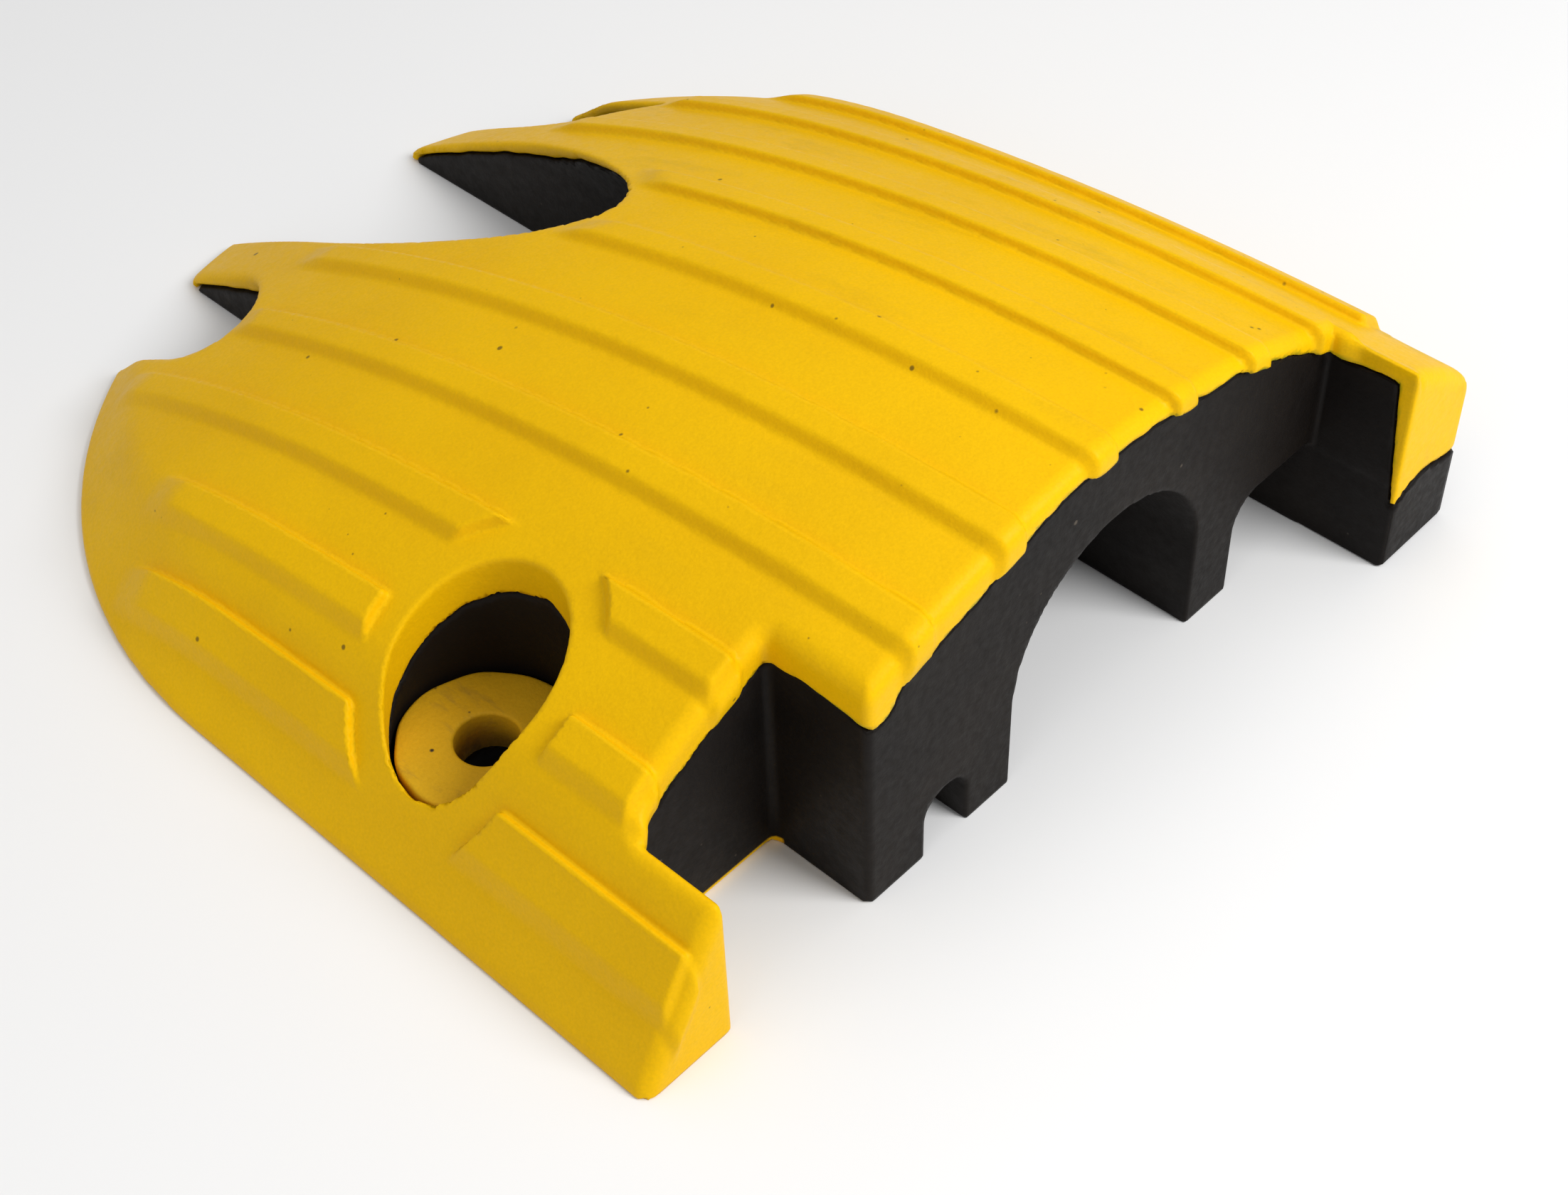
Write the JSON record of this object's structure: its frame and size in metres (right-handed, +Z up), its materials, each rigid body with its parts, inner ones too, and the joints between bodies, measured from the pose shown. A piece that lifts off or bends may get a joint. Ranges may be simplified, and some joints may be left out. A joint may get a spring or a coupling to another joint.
{
  "type": "rubber road hump end module",
  "caption": "Half-round end module of a rubber road hump: black body, yellow ribbed top, lengthwise channels underneath and a counterbored anchor hole",
  "frame": {"origin": "centre of the footprint's bounding box, on the road surface", "axes": "+X along the module towards the mating end with the plug, +Y towards the plug's side, +Z up"},
  "size_m": [0.3364, 0.3, 0.0925],
  "materials": {
    "black_rubber": "matte moulded rubber with fine grain",
    "yellow_rubber": "satin moulded rubber with fine speckle and dirt",
    "seat_rubber": "satin moulded rubber with dirt streaks"
  },
  "bodies": {
    "root": {"rubber_body": "black_rubber", "yellow_cover": "yellow_rubber", "anchor_seat": "seat_rubber"}
  },
  "joints": []
}
